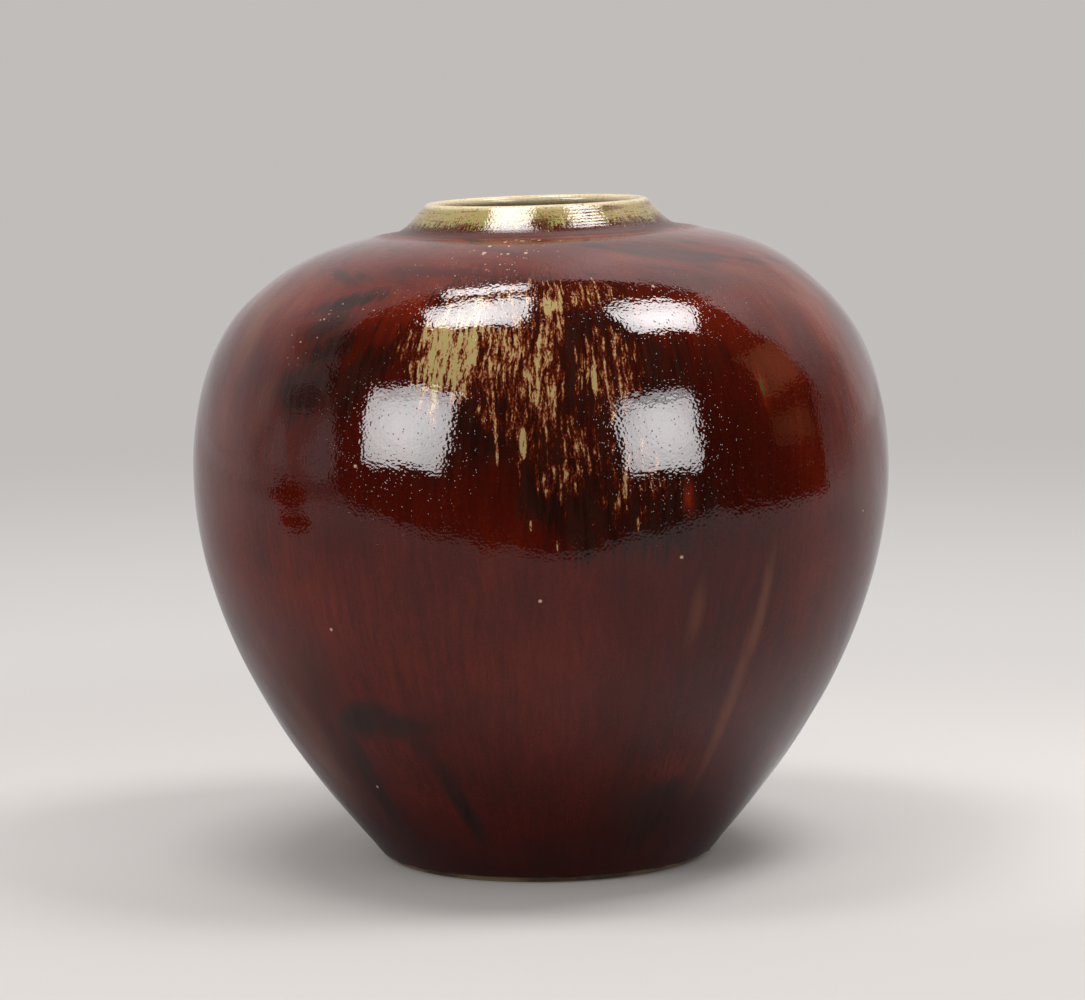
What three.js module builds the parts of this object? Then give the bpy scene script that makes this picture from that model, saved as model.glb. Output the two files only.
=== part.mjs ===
// A round-shouldered stoneware floor vase with a copper-red glaze, in millimetres, +Z up.
// The origin is the centre of the foot, on the surface that the vase stands on. +Y is away from the viewer.
// The pot is thrown in three sections, which sit in stepped joints, and it wears three coats of glaze.
// Every wall is described by its finished outside: the clay and the glazes lie at set depths behind it.
import * as THREE from "three";

// The finished outline, from the foot to the lip. Each rise is measured from the place before it.
const footRadius = 96;
const footFlare = 44.4; // degrees above level at which the wall leaves the foot
const footReach = 61; // how far the wall keeps that flare before it turns upright
const bellyRadius = 211.4;
const bellyHeight = 238.3;
const bellyBelow = 101; // how far below the belly the wall is drawn upright
const bellyAbove = 57;
const shoulderInset = 36.9; // how far the wall has come in from the belly
const shoulderRise = 105.1;
const shoulderLean = 43; // degrees above level
const shoulderReach = 22.5;
const neckBaseRadius = 88;
const neckBaseRise = 39;
const neckBaseLean = 7.1;
const neckBaseReach = 50;
const neckFillet = 5.5;
const collarRise = 17.6;
const collarLean = 47;
const lipRadius = 65; // to the crest of the lip
const lipThickness = 7;
const mouthTilt = 0.84; // degrees: the collar was thrown a little out of level, high at +X
const tiltRun = 52; // height of shoulder below the collar that bends to follow the tilt

// The layers of the wall
const wall = 10; // clay and both glazes together
const outerGlaze = 1.2;
const rimGlaze = 0.7; // the glaze runs thin off the rim
const innerGlaze = 0.8;
const glazeRoll = 2.1; // thickness of the roll in which the glaze stops above the foot
const bareFoot = 3.6; // height of the clay left bare below the roll

// The foot and the floor of the vase
const footInset = 3.8; // how far the bare foot draws in below the glaze's edge
const footBevel = 1;
const footRingWidth = 11; // the flat face that the vase stands on
const footRecess = 5;
const recessSlope = 3;
const floorThickness = 14;
const heelHeight = 40; // the inside turns from wall to floor below this height
const heelReach = 25;

// The stepped joints between the thrown sections
const jointStep = 9; // length of each step along the wall
const collarStep = 7;

// How finely the round forms are cut into faces
const sides = 48;
const lowerRows = 8;
const bellyRows = 5;
const shoulderRows = 5;
const filletRows = 2;
const lipRows = 4;
const heelRows = 3;

const clayMaterial = new THREE.MeshStandardMaterial({ color: 0x9a7d5f, roughness: 0.85, metalness: 0 });
const redGlazeMaterial = new THREE.MeshStandardMaterial({ color: 0x5a1410, roughness: 0.12, metalness: 0 });
const strawGlazeMaterial = new THREE.MeshStandardMaterial({ color: 0xb9a766, roughness: 0.15, metalness: 0 });
const linerGlazeMaterial = new THREE.MeshStandardMaterial({ color: 0x3a1512, roughness: 0.2, metalness: 0 });

const point = (radius, z) => new THREE.Vector2(radius, z);
const slope = (degrees) => {
  const angle = THREE.MathUtils.degToRad(degrees);
  return point(Math.cos(angle), Math.sin(angle));
};
const from = (start, direction, distance) => start.clone().addScaledVector(direction, distance);
const inwards = (direction) => point(-direction.x, direction.y);
const outwardNormal = (tangent) => point(tangent.y, -tangent.x);
const middle = (a, b) => a.clone().lerp(b, 0.5);

const shoulderHeight = bellyHeight + shoulderRise;
const neckBaseHeight = shoulderHeight + neckBaseRise;
const height = neckBaseHeight + collarRise;

// The spans of the finished outline. Each runs upwards along the outside.
function outlineSpans() {
  const foot = point(footRadius, 0);
  const belly = point(bellyRadius, bellyHeight);
  const shoulder = point(bellyRadius - shoulderInset, shoulderHeight);
  const neckBase = point(neckBaseRadius, neckBaseHeight);
  const shoulderRun = inwards(slope(shoulderLean));
  const neckRun = inwards(slope(neckBaseLean));
  const collarRun = inwards(slope(collarLean));
  const lower = new THREE.CubicBezierCurve(
    foot,
    from(foot, slope(footFlare), footReach),
    point(bellyRadius, bellyHeight - bellyBelow),
    belly,
  );
  const upper = new THREE.CubicBezierCurve(
    belly,
    point(bellyRadius, bellyHeight + bellyAbove),
    from(shoulder, shoulderRun, -shoulderReach),
    shoulder,
  );
  const crown = new THREE.CubicBezierCurve(
    shoulder,
    from(shoulder, shoulderRun, shoulderReach),
    from(neckBase, neckRun, -neckBaseReach),
    neckBase,
  );
  const lipCentre = point(lipRadius, height - lipThickness / 2);
  const collarTop = from(lipCentre, outwardNormal(collarRun), lipThickness / 2);
  // The fillet turns where the shoulder's run meets the collar's.
  const turn = crossing(neckBase, neckRun, collarTop, collarRun);
  const collarFoot = from(turn, collarRun, neckFillet);
  const fillet = new THREE.QuadraticBezierCurve(neckBase, turn, collarFoot);
  const collar = new THREE.LineCurve(collarFoot, collarTop);
  return { lower, upper, crown, fillet, collar, lipCentre, collarRun };
}

// Where the line from a along u crosses the line from b along v.
function crossing(a, u, b, v) {
  const apart = b.clone().sub(a);
  return from(a, u, apart.cross(v) / u.cross(v));
}

// The parameter at which a span, which climbs all the way, reaches a height.
function atHeight(span, z) {
  let [low, high] = [0, 1];
  for (let i = 0; i < 40; i++) {
    const t = (low + high) / 2;
    if (span.getPoint(t).y < z) low = t;
    else high = t;
  }
  return (low + high) / 2;
}

// A station is one place along the wall, with the four surfaces met on the way in:
// the glaze's outside, the clay's outside, the clay's inside and the liner's inside.
function station(at, normal, glaze, lining, thickness) {
  return {
    skin: at,
    clay: from(at, normal, -glaze),
    back: from(at, normal, -(thickness - lining)),
    liner: from(at, normal, -thickness),
  };
}

function stationOn(span, t, glaze, lining = innerGlaze, thickness = wall) {
  const normal = outwardNormal(span.getTangent(t));
  return station(span.getPoint(t), normal, glaze, lining, thickness);
}

// A station on the collar, where the wall and its glazes thin from the shoulder's to the lip's.
function collarStation(spans, span, t) {
  const { clamp, lerp } = THREE.MathUtils;
  const rise = spans.collar.getPoint(0).y - neckBaseHeight;
  const thinned = clamp((span.getPoint(t).y - neckBaseHeight) / rise, 0, 1);
  const glaze = lerp(outerGlaze, rimGlaze, thinned);
  const lining = lerp(innerGlaze, rimGlaze, thinned);
  return stationOn(span, t, glaze, lining, lerp(wall, lipThickness, thinned));
}

// The stations of the whole wall, in named runs that share their end stations.
function wallStations() {
  const spans = outlineSpans();
  const glazeStart = atHeight(spans.lower, bareFoot);
  const lower = [];
  for (let i = 0; i <= lowerRows; i++) {
    lower.push(stationOn(spans.lower, glazeStart + ((1 - glazeStart) * i) / lowerRows, outerGlaze));
  }
  const stepEnd = atHeight(spans.upper, bellyHeight + jointStep);
  const upper = [lower[lowerRows]];
  for (let i = 0; i < bellyRows; i++) {
    upper.push(stationOn(spans.upper, stepEnd + ((1 - stepEnd) * i) / (bellyRows - 1), outerGlaze));
  }
  // The crown's last step is the ledge that the collar sits on.
  const ledge = 1 - collarStep / spans.crown.getLength();
  const ledgeAt = spans.crown.getUtoTmapping(ledge);
  const crown = [upper[bellyRows]];
  for (let i = 1; i < shoulderRows; i++) {
    crown.push(stationOn(spans.crown, (ledgeAt * i) / (shoulderRows - 1), outerGlaze));
  }
  const collar = [crown[crown.length - 1], collarStation(spans, spans.crown, 1)];
  for (let i = 1; i <= filletRows; i++) collar.push(collarStation(spans, spans.fillet, i / filletRows));
  collar.push(collarStation(spans, spans.collar, 1));
  return { lower, upper, crown, collar, spans };
}

// The lip's half round at a radius about its centre, from the outside over the crest to the inside.
function lipArc(spans, radius) {
  const start = outwardNormal(spans.collarRun).angle();
  const rows = [];
  for (let i = 1; i < lipRows; i++) {
    const angle = start + (Math.PI * i) / lipRows;
    rows.push(from(spans.lipCentre, point(Math.cos(angle), Math.sin(angle)), radius));
  }
  return rows;
}

// The inside of the floor, from the axis out to where a layer of the wall comes down to it.
function floorRun(wallEnd, wallAbove, level) {
  const corner = crossing(wallEnd, wallEnd.clone().sub(wallAbove), point(0, level), point(1, 0));
  const heel = new THREE.QuadraticBezierCurve(point(corner.x - heelReach, level), corner, wallEnd);
  const rows = [point(0, level)];
  for (let i = 0; i < heelRows; i++) rows.push(heel.getPoint(i / heelRows));
  return rows;
}

// Turns a profile about the Z axis and names the piece. The profile runs up the outside and down the inside.
// It starts and ends on the axis, or closes on itself. A stretch of profile is cut into the same faces
// whichever way it runs, so that the pieces on its two sides meet exactly.
function turned(name, profile, material) {
  const places = [];
  const faces = [];
  const rings = profile.map((p) => ring(p, places));
  const bands = profile[0].x > 0 ? profile.length : profile.length - 1;
  for (let j = 0; j < bands; j++) {
    const [start, end] = [rings[j], rings[(j + 1) % rings.length]];
    const [a, b] = [profile[j], profile[(j + 1) % profile.length]];
    const upwards = a.y === b.y ? a.x < b.x : a.y < b.y;
    for (let i = 0; i < sides; i++) {
      const next = (i + 1) % sides;
      if (upwards) faces.push([start[i], start[next], end[next]], [start[i], end[next], end[i]]);
      else faces.push([start[i], start[next], end[i]], [start[next], end[next], end[i]]);
    }
  }
  const whole = faces.filter(([a, b, c]) => a !== b && b !== c && c !== a);
  const geometry = new THREE.BufferGeometry();
  geometry.setAttribute("position", new THREE.Float32BufferAttribute(places, 3));
  geometry.setIndex(whole.flat());
  geometry.computeVertexNormals();
  const mesh = new THREE.Mesh(geometry, material);
  mesh.name = name;
  return mesh;
}

// Adds the places round one point of a profile and returns their numbers. What lies above the shoulder
// follows the collar's tilt.
function ring(p, places) {
  const tilt = Math.tan(THREE.MathUtils.degToRad(mouthTilt));
  const follow = tilt * THREE.MathUtils.smoothstep(p.y, neckBaseHeight - tiltRun, neckBaseHeight);
  const first = places.length / 3;
  const count = p.x > 0 ? sides : 1;
  for (let i = 0; i < count; i++) {
    const angle = (2 * Math.PI * i) / sides;
    const x = p.x * Math.cos(angle);
    places.push(x, p.x * Math.sin(angle), p.y + follow * x);
  }
  return Array.from({ length: sides }, (_, i) => first + (i % count));
}

const surface = (stations, layer) => stations.map((s) => s[layer]);
const downwards = (points) => [...points].reverse();

// Where the inside of the wall gives way to the floor: the first station above the heel.
const aboveHeel = (stations) => stations.findIndex((s) => s.liner.y > heelHeight);

// The lower bowl, with its turned foot ring, its floor and the inner half of the belly joint.
function baseSection({ lower, upper }) {
  const start = aboveHeel(lower);
  const seam = lower[lower.length - 1];
  const tongue = upper[1];
  const ringOutside = lower[0].clay.x - footInset;
  const ringInside = ringOutside - footRingWidth;
  return turned(
    "base_section",
    [
      point(0, footRecess),
      point(ringInside - recessSlope, footRecess),
      point(ringInside, 0),
      point(ringOutside, 0),
      point(ringOutside + footBevel, footBevel),
      ...surface(lower, "clay"),
      middle(seam.clay, seam.back),
      middle(tongue.clay, tongue.back),
      tongue.back,
      ...downwards(surface(lower.slice(start), "back")),
      ...downwards(floorRun(lower[start].back, lower[start + 1].back, floorThickness - innerGlaze)),
    ],
    clayMaterial,
  );
}

// The shoulder, thrown apart and set on the base section's tongue. Its inner half ends in the collar's ledge.
function shoulderSection({ lower, upper, crown, collar }) {
  const seam = lower[lower.length - 1];
  const tongue = upper[1];
  const ledge = crown[crown.length - 1];
  const ledgeEnd = collar[1];
  return turned(
    "shoulder_section",
    [
      middle(seam.clay, seam.back),
      seam.clay,
      ...surface(upper.slice(1), "clay"),
      ...surface(crown.slice(1), "clay"),
      middle(ledge.clay, ledge.back),
      middle(ledgeEnd.clay, ledgeEnd.back),
      ledgeEnd.back,
      ...downwards(surface(crown.slice(1), "back")),
      ...downwards(surface(upper.slice(1), "back")),
      middle(tongue.clay, tongue.back),
    ],
    clayMaterial,
  );
}

// The collar, thrown as a ring, with its outer half resting on the shoulder's ledge.
function neckCollar({ collar, spans }) {
  const [ledge, ledgeEnd] = collar;
  return turned(
    "neck_collar",
    [
      middle(ledge.clay, ledge.back),
      ...surface(collar, "clay"),
      ...lipArc(spans, lipThickness / 2 - rimGlaze),
      ...downwards(surface(collar.slice(1), "back")),
      middle(ledgeEnd.clay, ledgeEnd.back),
    ],
    clayMaterial,
  );
}

// The red glaze over the outside, from its roll above the bare foot to the foot of the collar.
function wallGlaze({ lower, upper, crown, collar }) {
  const run = [...lower, ...upper.slice(1), ...crown.slice(1), collar[1]];
  const end = run[0];
  const outOfWall = end.skin.clone().sub(end.clay).normalize();
  const roll = from(end.clay, outOfWall, glazeRoll);
  return turned(
    "wall_glaze",
    [
      end.clay,
      from(middle(end.clay, roll), point(0, -1), glazeRoll / 4),
      roll,
      ...surface(run.slice(1), "skin"),
      ...downwards(surface(run.slice(1), "clay")),
    ],
    redGlazeMaterial,
  );
}

// The thin straw-coloured glaze on the collar, over the lip and down inside it.
function collarGlaze({ collar, spans }) {
  const run = collar.slice(1);
  return turned(
    "collar_glaze",
    [
      ...surface(run, "skin"),
      ...lipArc(spans, lipThickness / 2),
      ...downwards(surface(run, "liner")),
      ...surface(run, "back"),
      ...downwards(lipArc(spans, lipThickness / 2 - rimGlaze)),
      ...downwards(surface(run, "clay")),
    ],
    strawGlazeMaterial,
  );
}

// The liner glaze that makes the inside hold water, over the floor and up to the collar's foot.
function linerGlaze({ lower, upper, crown, collar }) {
  const start = aboveHeel(lower);
  const run = [...lower.slice(start), ...upper.slice(1), ...crown.slice(1), collar[1]];
  return turned(
    "liner_glaze",
    [
      ...floorRun(run[0].back, run[1].back, floorThickness - innerGlaze),
      ...surface(run, "back"),
      ...downwards(surface(run, "liner")),
      ...downwards(floorRun(run[0].liner, run[1].liner, floorThickness)),
    ],
    linerGlazeMaterial,
  );
}

const stations = wallStations();
const vase = new THREE.Group();
vase.add(baseSection(stations), shoulderSection(stations), neckCollar(stations));
vase.add(wallGlaze(stations), collarGlaze(stations), linerGlaze(stations));

export default vase;
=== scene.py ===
"""A round-shouldered stoneware floor vase with a copper-red glaze, in a plain pale studio.

Lengths are in millimetres until a mesh is made, and in metres after that. A place on the wall is given by
its turn, in degrees round the axis from the front, positive to the right, and by its run, the distance
along the outside of the wall from the foot.
"""
import math

import bmesh
import bpy
import numpy as np
from mathutils import Matrix, Vector


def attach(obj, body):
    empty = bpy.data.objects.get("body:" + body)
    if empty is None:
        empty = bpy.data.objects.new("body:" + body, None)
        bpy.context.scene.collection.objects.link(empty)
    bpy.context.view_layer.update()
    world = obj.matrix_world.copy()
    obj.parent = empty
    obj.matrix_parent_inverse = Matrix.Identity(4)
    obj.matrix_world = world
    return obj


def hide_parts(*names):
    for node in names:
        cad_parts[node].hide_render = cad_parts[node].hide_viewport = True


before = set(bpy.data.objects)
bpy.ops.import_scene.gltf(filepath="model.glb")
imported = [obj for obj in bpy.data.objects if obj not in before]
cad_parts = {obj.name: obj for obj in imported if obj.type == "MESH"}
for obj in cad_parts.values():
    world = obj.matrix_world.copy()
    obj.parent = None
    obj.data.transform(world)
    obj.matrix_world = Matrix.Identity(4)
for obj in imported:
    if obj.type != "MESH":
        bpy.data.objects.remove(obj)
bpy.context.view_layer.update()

METRES = 0.001

# The finished outline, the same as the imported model's
FOOT_RADIUS = 96.0
FOOT_FLARE = 44.4
FOOT_REACH = 61.0
BELLY_RADIUS = 211.4
BELLY_HEIGHT = 238.3
BELLY_BELOW = 101.0
BELLY_ABOVE = 57.0
SHOULDER_RADIUS = 174.5
SHOULDER_HEIGHT = 343.4
SHOULDER_LEAN = 43.0
SHOULDER_REACH = 22.5
NECK_RADIUS = 88.0
NECK_HEIGHT = 382.4
NECK_LEAN = 7.1
NECK_REACH = 50.0
NECK_FILLET = 5.5
COLLAR_LEAN = 47.0
HEIGHT = 400.0
LIP_RADIUS = 65.0
LIP_THICKNESS = 7.0
MOUTH_TILT = 0.84
TILT_RUN = 52.0

# The layers of the wall
WALL = 10.0
OUTER_GLAZE = 1.2
RIM_GLAZE = 0.7
INNER_GLAZE = 0.8
GLAZE_ROLL = 2.1
ROLL_WIDTH = 1.4
ROLL_FADE = 9.0
BARE_FOOT = 3.6

# The foot, the floor of the vase and the stepped joints
FOOT_INSET = 3.8
FOOT_BEVEL = 1.0
FOOT_RING = 11.0
FOOT_RECESS = 5.0
RECESS_SLOPE = 3.0
FLOOR_THICKNESS = 14.0
HEEL_HEIGHT = 44.6
HEEL_SAMPLE = 6.0
HEEL_REACH = 25.0
JOINT_STEP = 9.0
COLLAR_STEP = 7.0

# How finely the round forms are cut
SEGMENTS = 360
PATH_SPACING = 0.25
ROW_SPACING = 2.4
ROLL_SPACING = 1.2
GROOVE_SPACING = 0.8
COLLAR_SPACING = 0.5
CLAY_SPACING = 0.7
LINER_SPACING = 6.0
HIDDEN_SPACING = 16.0
HIDDEN_COLLAR_SPACING = 3.0
CURVE_POINTS = 400
FILLET_POINTS = 60
HEEL_POINTS = 16
BEVEL_POINTS = 5
ROLL_POINTS = 9
LIP_POINTS = 25
HIDDEN_LIP_POINTS = 9
SHARP_ANGLE = 42.0
# Runs at which the rows of the red coat change their spacing, and where its hidden back starts
ROLL_END = 40.0
GROOVE_START = 462.0
ROLL_BACK = 2.0

# Throwing marks: the wall is never quite true
WAVES = 44
WAVE_SLOPE = 0.010
MOST_AROUND = 45
WAVE_LENGTHS = (22, 150)
SWELL_INSET = 0.45
SWELL_STARTS = (0, 40)
SWELL_CALMS = (370, 470)
GROOVE_RUN = 478.6
GROOVE_DRIFT = 0.8
GROOVE_DEPTH = 0.45
GROOVE_WIDTH = 1.5
RIDGE_PITCH = 2.35
RIDGE_HEIGHT = 0.018
EDGE_WANDER = 0.75
EDGE_FADE = 14.0
CLAY_RIDGE_PITCH = 2.8
CLAY_RIDGE_HEIGHT = 0.10
CLAY_RIDGE_START = 8.0
# The radius at which patterns are laid out round the pot
PATTERN_RADIUS = 200


def point(radius, z):
    return np.array([radius, z], float)


def slope(degrees):
    angle = math.radians(degrees)
    return point(math.cos(angle), math.sin(angle))


def inwards(direction):
    return direction * [-1, 1]


def bezier(controls, count):
    """Points along a Bezier curve of any degree."""
    t = np.linspace(0, 1, count)[:, None]
    degree = len(controls) - 1
    return sum(math.comb(degree, i) * t**i * (1 - t) ** (degree - i) * c for i, c in enumerate(controls))


def crossing(a, u, b, v):
    """Where the line from a along u crosses the line from b along v."""
    apart = b - a
    return a + u * (apart[0] * v[1] - apart[1] * v[0]) / (u[0] * v[1] - u[1] * v[0])


def travelled(points):
    """The distance along a row of points, from its start."""
    return np.concatenate([[0], np.cumsum(np.hypot(*np.diff(points, axis=0).T))])


def respaced(points, spacing):
    """The same path with points at even distances."""
    points = np.asarray(points, float)
    run = travelled(points)
    even = np.linspace(0, run[-1], max(2, round(run[-1] / spacing) + 1))
    return np.stack([np.interp(even, run, column) for column in points.T], axis=1)


def outward_normals(points):
    """Unit normals, to the right of the way along a row of points in the plane of radius and height."""
    tangents = np.gradient(points, axis=0)
    tangents /= np.hypot(*tangents.T)[:, None]
    return np.stack([tangents[:, 1], -tangents[:, 0]], axis=1)


def smoothstep(value, low, high):
    t = np.clip((np.asarray(value, float) - low) / (high - low), 0, 1)
    return t * t * (3 - 2 * t)


class Outline:
    """The finished outside of the wall, with the surfaces that lie at depths behind it."""

    def __init__(self):
        foot = point(FOOT_RADIUS, 0)
        belly = point(BELLY_RADIUS, BELLY_HEIGHT)
        shoulder = point(SHOULDER_RADIUS, SHOULDER_HEIGHT)
        neck = point(NECK_RADIUS, NECK_HEIGHT)
        shoulder_way = inwards(slope(SHOULDER_LEAN))
        neck_way = inwards(slope(NECK_LEAN))
        self.collar_way = inwards(slope(COLLAR_LEAN))
        collar_out = point(self.collar_way[1], -self.collar_way[0])
        self.lip_centre = point(LIP_RADIUS, HEIGHT - LIP_THICKNESS / 2)
        collar_top = self.lip_centre + collar_out * LIP_THICKNESS / 2
        turn = crossing(neck, neck_way, collar_top, self.collar_way)
        collar_foot = turn + self.collar_way * NECK_FILLET
        lower = [foot, foot + slope(FOOT_FLARE) * FOOT_REACH, belly - [0, BELLY_BELOW], belly]
        upper = [belly, belly + [0, BELLY_ABOVE], shoulder - shoulder_way * SHOULDER_REACH, shoulder]
        crown = [shoulder, shoulder + shoulder_way * SHOULDER_REACH, neck - neck_way * NECK_REACH, neck]
        spans = [bezier(controls, CURVE_POINTS) for controls in (lower, upper, crown)]
        collar = ([neck, turn, collar_foot], [collar_foot, collar_top])
        spans += [bezier(controls, FILLET_POINTS) for controls in collar]
        self.path = respaced(np.vstack([spans[0]] + [span[1:] for span in spans[1:]]), PATH_SPACING)
        self.normals = outward_normals(self.path)
        self.run = travelled(self.path)
        self.top = float(self.run[-1])
        self.neck = self.run_at(NECK_HEIGHT)
        self.collar_foot_height = collar_foot[1]

    def run_at(self, z):
        return float(np.interp(z, self.path[:, 1], self.run))

    def at(self, runs, depth=0.0):
        """Points at these distances along the wall, at a depth behind the finished outside."""
        points = np.stack([np.interp(runs, self.run, column) for column in self.path.T], axis=1)
        normals = np.stack([np.interp(runs, self.run, column) for column in self.normals.T], axis=1)
        return points - normals * np.reshape(depth, (-1, 1))

    def thinning(self, runs, below, above):
        """A thickness that goes from one value at the shoulder to another up the foot of the collar."""
        z = np.interp(runs, self.run, self.path[:, 1])
        share = np.clip((z - NECK_HEIGHT) / (self.collar_foot_height - NECK_HEIGHT), 0, 1)
        return below + (above - below) * share

    def lip(self, radius, count):
        """The half round over the lip, from outside to inside."""
        start = math.atan2(-self.collar_way[0], self.collar_way[1])
        angles = start + np.linspace(0, math.pi, count)
        return self.lip_centre + radius * np.stack([np.cos(angles), np.sin(angles)], axis=1)


OUTLINE = Outline()
GLAZE_START = OUTLINE.run_at(BARE_FOOT)
JOINT_RUN = OUTLINE.run_at(BELLY_HEIGHT)
STEP_RUN = OUTLINE.run_at(BELLY_HEIGHT + JOINT_STEP)
LEDGE_RUN = OUTLINE.neck - COLLAR_STEP
LIP_LENGTH = math.pi * LIP_THICKNESS / 2
# Where the heel starts on the wall, and a place just above it that gives the wall's way there
HEEL_RUNS = OUTLINE.run_at(HEEL_HEIGHT) + np.array([0.0, HEEL_SAMPLE])


def clay_depth(runs):
    return OUTLINE.thinning(runs, OUTER_GLAZE, RIM_GLAZE)


def liner_depth(runs):
    return OUTLINE.thinning(runs, WALL, LIP_THICKNESS)


def back_depth(runs):
    return liner_depth(runs) - OUTLINE.thinning(runs, INNER_GLAZE, RIM_GLAZE)


def spaced(start, end, spacing):
    return np.linspace(start, end, max(2, round(abs(end - start) / spacing) + 1))


def stretch(points, runs=0.0, shown=True):
    """One smooth stretch of a profile: radius, height, normal, distance along the wall and if it is seen."""
    points = np.asarray(points, float)
    runs = np.broadcast_to(runs, len(points))
    return np.column_stack([points, outward_normals(points), runs, np.full(len(points), float(shown))])


def surface(start, end, depth_at, spacing=HIDDEN_SPACING, shown=False):
    """A stretch of one of the wall's surfaces between two distances along it, up or down."""
    runs = spaced(start, end, spacing)
    return stretch(OUTLINE.at(runs, depth_at(runs)), runs, shown)


def corner(points):
    """A few hidden points of a profile that turn sharply."""
    points = np.atleast_2d(points)
    flat = np.zeros(len(points))
    return np.column_stack([points, flat, flat, flat, flat])


def line(a, b, spacing):
    return respaced([a, b], spacing)


def between(run):
    """The middle of the clay's thickness."""
    runs = np.array([run])
    return (OUTLINE.at(runs, clay_depth(runs)) + OUTLINE.at(runs, back_depth(runs))) / 2


def floor_points(depth_at, level):
    """The inside of the floor, from the axis out to where a layer of the wall comes down to it."""
    start, above = OUTLINE.at(HEEL_RUNS, depth_at(HEEL_RUNS))
    meeting = crossing(start, start - above, point(0, level), point(1, 0))
    flat_end = point(meeting[0] - HEEL_REACH, level)
    flat = line(point(0, level), flat_end, LINER_SPACING)[:-1]
    return np.vstack([flat, bezier([flat_end, meeting, start], HEEL_POINTS)])


def clay_floor():
    """The clay's own floor, from the axis out, under the liner glaze."""
    return floor_points(back_depth, FLOOR_THICKNESS - INNER_GLAZE)


def clay_lip():
    """The clay's half round under the lip's glaze, without its ends."""
    return OUTLINE.lip(LIP_THICKNESS / 2 - RIM_GLAZE, HIDDEN_LIP_POINTS)[1:-1]


def waviness(turns, runs):
    """The small swells left by the throwing, as a height in millimetres for each place."""
    draw = np.random.default_rng(11)
    theta = np.radians(turns)
    total = np.zeros((len(runs), len(turns)))
    for _ in range(WAVES):
        around = int(draw.integers(0, MOST_AROUND + 1))
        length = draw.uniform(*WAVE_LENGTHS)
        steepness = math.hypot(around / PATTERN_RADIUS, 2 * math.pi / length)
        height = WAVE_SLOPE * math.sqrt(2 / WAVES) / steepness
        phase = draw.uniform(0, 2 * math.pi)
        total += height * np.sin(around * theta[None, :] + 2 * math.pi * runs[:, None] / length + phase)
    return total


def ripple(turns, seed, lowest, highest):
    """A wavy line round the pot, between about -1 and 1."""
    count = 9
    any_phase = 6.3
    draw = np.random.default_rng(seed)
    theta = np.radians(turns)
    total = 0
    for _ in range(count):
        total = total + np.sin(draw.integers(lowest, highest) * theta + draw.uniform(0, any_phase))
    return total / math.sqrt(count)


def relief(turns, runs):
    """How far the finished surface lies out of its true round: out along the normal, and along the wall."""
    up = runs[:, None]
    calm = 1 - 0.8 * smoothstep(up, *SWELL_CALMS)
    out = np.minimum(waviness(turns, runs) * calm - SWELL_INSET, -0.02) * smoothstep(up, *SWELL_STARTS)
    drift = ripple(turns, 3, 1, 7) * GROOVE_DRIFT
    groove = np.exp(-(((up - GROOVE_RUN - drift) / GROOVE_WIDTH) ** 2))
    fading = 0.55 + 0.45 * ripple(turns, 5, 1, 9)
    out = out - GROOVE_DEPTH * groove * np.clip(fading, 0.1, 1.2)
    on_collar = smoothstep(up, OUTLINE.neck, OUTLINE.neck + 4)
    on_collar = on_collar * (1 - smoothstep(up, OUTLINE.top - 3, OUTLINE.top + 3))
    turning = 2 * math.pi * (up + ripple(turns, 8, 1, 5) * 0.5) / RIDGE_PITCH
    out = out + RIDGE_HEIGHT * (np.sin(turning) - 1) * on_collar
    at_edge = 1 - smoothstep(up, GLAZE_START, GLAZE_START + EDGE_FADE)
    return out, EDGE_WANDER * ripple(turns, 13, 2, 26) * at_edge


def clay_relief(turns, runs):
    """The bare foot: the faint spiral of the turning tool, cut into the clay."""
    rows = np.arange(len(runs))[:, None] * CLAY_SPACING
    spiral = 2 * math.pi * (rows / CLAY_RIDGE_PITCH + turns[None, :] / 360)
    cut = CLAY_RIDGE_HEIGHT * (np.sin(spiral) - 1) / 2 * smoothstep(rows, 0, CLAY_RIDGE_START)
    return cut, np.zeros_like(cut)


def placed(name, data):
    """A new object in the scene, from its mesh, lamp or lens."""
    made = bpy.data.objects.new(name, data)
    bpy.context.scene.collection.objects.link(made)
    return made


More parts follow.
